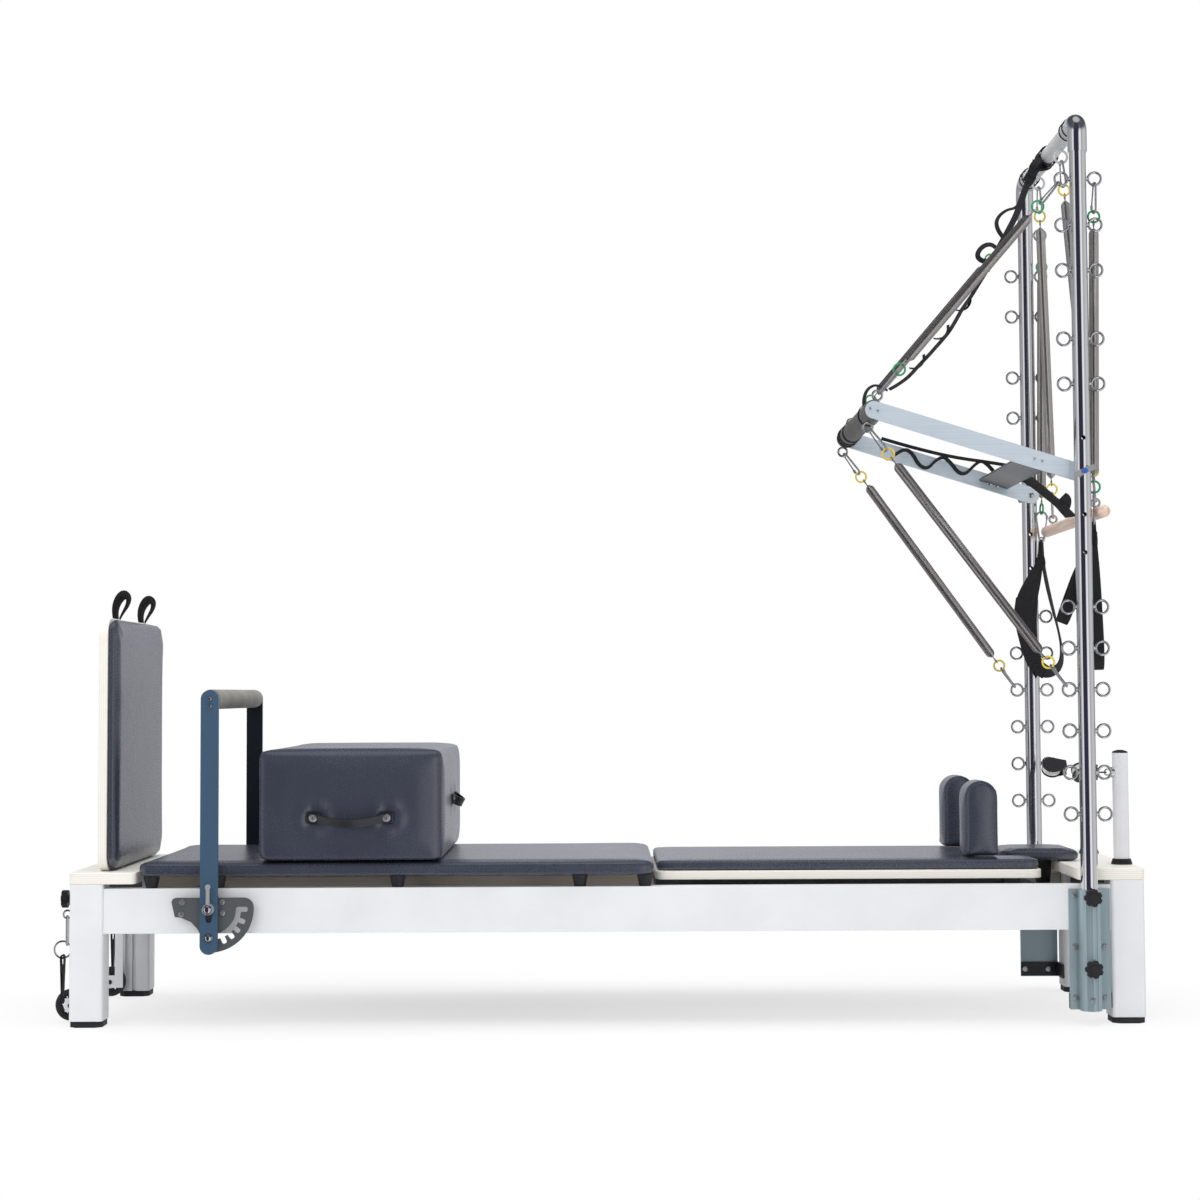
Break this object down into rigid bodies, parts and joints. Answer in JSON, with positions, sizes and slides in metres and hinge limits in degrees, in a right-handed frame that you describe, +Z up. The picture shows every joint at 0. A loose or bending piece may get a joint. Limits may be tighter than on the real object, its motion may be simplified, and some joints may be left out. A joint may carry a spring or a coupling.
{
  "type": "pilates tower unit",
  "caption": "Pilates reformer frame with carriage, foot bar, mat, sitting box, jump board and a half trapeze tower with sprung push-through and roll-down bars.",
  "frame": {"origin": "on the floor, at the middle of the overall bounding box in plan", "axes": "+X along the frame from the foot end to the tower, +Y across it to the far side, +Z up"},
  "size_m": [2.472, 0.787, 2.064],
  "materials": {
    "white_powder_coat": "satin powder coat",
    "track_alloy": "bronze anodised",
    "black_rubber": "matt",
    "cream_laminate": "satin lacquer",
    "dark_steel": "satin",
    "spring_steel": "bare wire",
    "sector_steel": "brushed",
    "zinc_steel": "zinc plated",
    "sage_paint": "satin powder coat",
    "black_steel": "satin",
    "tube_steel": "polished",
    "grey_sleeve": "smooth",
    "chrome_steel": "polished",
    "black_plastic": "fine grain",
    "slate_upholstery": "pebbled synthetic leather",
    "black_leather": "stitched",
    "black_webbing": "woven",
    "white_nylon": "moulded",
    "footbar_paint": "satin powder coat",
    "grip_foam": "foam",
    "ptb_paint": "satin powder coat",
    "brace_steel": "satin",
    "maple": "clear lacquer"
  },
  "bodies": {
    "frame": {"side_rails": "white_powder_coat", "carriage_tracks": "track_alloy", "corner_legs": "white_powder_coat", "leg_feet": "black_rubber", "end_boards": "cream_laminate", "cross_beams": "dark_steel", "reformer_springs": "spring_steel", "sector_plates": "sector_steel", "pivot_bolts": "zinc_steel", "frame_bolts": "zinc_steel", "tower_sockets": "sage_paint", "socket_braces": "black_steel", "tower_uprights": "tube_steel", "tower_elbows": "tube_steel", "tower_crossbar": "grey_sleeve", "tower_eyebolts": "chrome_steel", "pulley_posts": "white_powder_coat", "post_trim": "black_plastic", "post_eyes": "chrome_steel", "wheel_brackets": "white_powder_coat", "mat_pad": "slate_upholstery", "rubber_supports": "black_rubber", "sitting_box": "slate_upholstery", "box_handles": "black_leather", "jump_panel": "cream_laminate", "jump_pad": "slate_upholstery", "webbing_loops": "black_webbing", "tether_hardware": "chrome_steel"},
    "carriage": {"carriage_board": "cream_laminate", "carriage_pad": "slate_upholstery", "shoulder_rests": "slate_upholstery", "carriage_chassis": "black_steel"},
    "wheels_foot_end": {"wheelset_foot": "white_nylon"},
    "wheels_head_end": {"wheelset_head": "white_nylon"},
    "headrest": {"headrest_pad": "slate_upholstery", "headrest_hinge": "black_plastic"},
    "footbar": {"footbar_arms": "footbar_paint", "footbar_grip": "grip_foam"},
    "clamp_near": {"lever_near": "dark_steel"},
    "clamp_far": {"lever_far": "dark_steel"},
    "push_through_bar": {"ptb_arms": "ptb_paint", "ptb_grip": "grip_foam", "ptb_brace": "brace_steel", "upper_springs": "spring_steel", "lower_springs": "spring_steel"},
    "roll_down_bar": {"rolldown_bar": "maple", "rolldown_springs": "spring_steel"},
    "loop_spring_near": {"loops_near": "spring_steel"},
    "loop_spring_far": {"loops_far": "spring_steel"},
    "pulley_block_near": {"pulley_near": "black_plastic"},
    "pulley_block_far": {"pulley_far": "black_plastic"},
    "pulley_wheel_near": {"sheave_near": "white_nylon"},
    "pulley_wheel_far": {"sheave_far": "white_nylon"},
    "transport_wheel_near": {"wheel_near": "black_rubber"},
    "transport_wheel_far": {"wheel_far": "black_rubber"},
    "star_knob_jump": {"jump_knob": "black_plastic"},
    "star_knob_near_top": {"knob_near_top": "black_plastic"},
    "star_knob_near_low": {"knob_near_low": "black_plastic"},
    "star_knob_far_top": {"knob_far_top": "black_plastic"},
    "star_knob_far_low": {"knob_far_low": "black_plastic"}
  },
  "joints": [
    {"name": "carriage_slide", "type": "slide", "parent": "frame", "child": "carriage", "axis": [1, 0, 0], "range_m": [0, 0.055]},
    {"name": "wheels_foot_spin", "type": "hinge", "parent": "carriage", "child": "wheels_foot_end", "pos_m": [0.204, 0, 0.2713], "axis": [0, 1, 0], "continuous": true},
    {"name": "wheels_head_spin", "type": "hinge", "parent": "carriage", "child": "wheels_head_end", "pos_m": [0.952, 0, 0.2713], "axis": [0, 1, 0], "continuous": true},
    {"name": "headrest_tilt", "type": "hinge", "parent": "carriage", "child": "headrest", "pos_m": [0.954, 0, 0.336], "axis": [0, -1, 0], "range_deg": [0, 25]},
    {"name": "footbar_tilt", "type": "hinge", "parent": "frame", "child": "footbar", "pos_m": [-0.866, 0, 0.267], "axis": [0, -1, 0], "range_deg": [0, 24]},
    {"name": "clamp_near_turn", "type": "hinge", "parent": "frame", "child": "clamp_near", "pos_m": [-0.866, -0.35, 0.267], "axis": [0, 1, 0], "range_deg": [0, 70]},
    {"name": "clamp_far_turn", "type": "hinge", "parent": "frame", "child": "clamp_far", "pos_m": [-0.866, 0.35, 0.267], "axis": [0, 1, 0], "range_deg": [0, 70]},
    {"name": "push_through_swing", "type": "hinge", "parent": "frame", "child": "push_through_bar", "pos_m": [1.106, 0, 1.24], "axis": [0, 1, 0], "range_deg": [-25, 15], "deforming": ["upper_springs", "lower_springs"]},
    {"name": "roll_down_swing", "type": "hinge", "parent": "frame", "child": "roll_down_bar", "pos_m": [1.106, 0, 1.9941], "axis": [0, -1, 0], "range_deg": [0, 20]},
    {"name": "loop_near_swing", "type": "hinge", "parent": "frame", "child": "loop_spring_near", "pos_m": [1.144, -0.346, 1.9], "axis": [0, -1, 0], "range_deg": [0, 18]},
    {"name": "loop_far_swing", "type": "hinge", "parent": "frame", "child": "loop_spring_far", "pos_m": [1.144, 0.346, 1.9], "axis": [0, -1, 0], "range_deg": [0, 18]},
    {"name": "pulley_near_swing", "type": "hinge", "parent": "frame", "child": "pulley_block_near", "pos_m": [1.1797, -0.19, 0.557], "axis": [0, 1, 0], "range_deg": [-20, 20]},
    {"name": "pulley_far_swing", "type": "hinge", "parent": "frame", "child": "pulley_block_far", "pos_m": [1.1797, 0.19, 0.557], "axis": [0, 1, 0], "range_deg": [-20, 20]},
    {"name": "pulley_wheel_near_spin", "type": "hinge", "parent": "pulley_block_near", "child": "pulley_wheel_near", "pos_m": [1.124, -0.19, 0.557], "axis": [0, 0.7071, 0.7071], "continuous": true},
    {"name": "pulley_wheel_far_spin", "type": "hinge", "parent": "pulley_block_far", "child": "pulley_wheel_far", "pos_m": [1.124, 0.19, 0.557], "axis": [0, 0.7071, -0.7071], "continuous": true},
    {"name": "transport_wheel_near_spin", "type": "hinge", "parent": "frame", "child": "transport_wheel_near", "pos_m": [-1.2, -0.226, 0.04], "axis": [0, 1, 0], "continuous": true},
    {"name": "transport_wheel_far_spin", "type": "hinge", "parent": "frame", "child": "transport_wheel_far", "pos_m": [-1.2, 0.226, 0.04], "axis": [0, 1, 0], "continuous": true},
    {"name": "star_knob_jump_turn", "type": "hinge", "parent": "frame", "child": "star_knob_jump", "pos_m": [-1.188, -0.285, 0.285], "axis": [1, 0, 0], "continuous": true},
    {"name": "star_knob_near_top_turn", "type": "hinge", "parent": "frame", "child": "star_knob_near_top", "pos_m": [1.106, -0.3695, 0.285], "axis": [0, 1, 0], "continuous": true},
    {"name": "star_knob_near_low_turn", "type": "hinge", "parent": "frame", "child": "star_knob_near_low", "pos_m": [1.106, -0.3695, 0.127], "axis": [0, 1, 0], "continuous": true},
    {"name": "star_knob_far_top_turn", "type": "hinge", "parent": "frame", "child": "star_knob_far_top", "pos_m": [1.106, 0.3695, 0.285], "axis": [0, 1, 0], "continuous": true},
    {"name": "star_knob_far_low_turn", "type": "hinge", "parent": "frame", "child": "star_knob_far_low", "pos_m": [1.106, 0.3695, 0.127], "axis": [0, 1, 0], "continuous": true}
  ],
  "couplings": [
    {"joint": "wheels_foot_spin", "follows": "carriage_slide", "rad_per_m": 40},
    {"joint": "wheels_head_spin", "follows": "carriage_slide", "rad_per_m": 40},
    {"joint": "loop_near_swing", "follows": "roll_down_swing", "ratio": 0.85},
    {"joint": "loop_far_swing", "follows": "roll_down_swing", "ratio": 0.85}
  ]
}
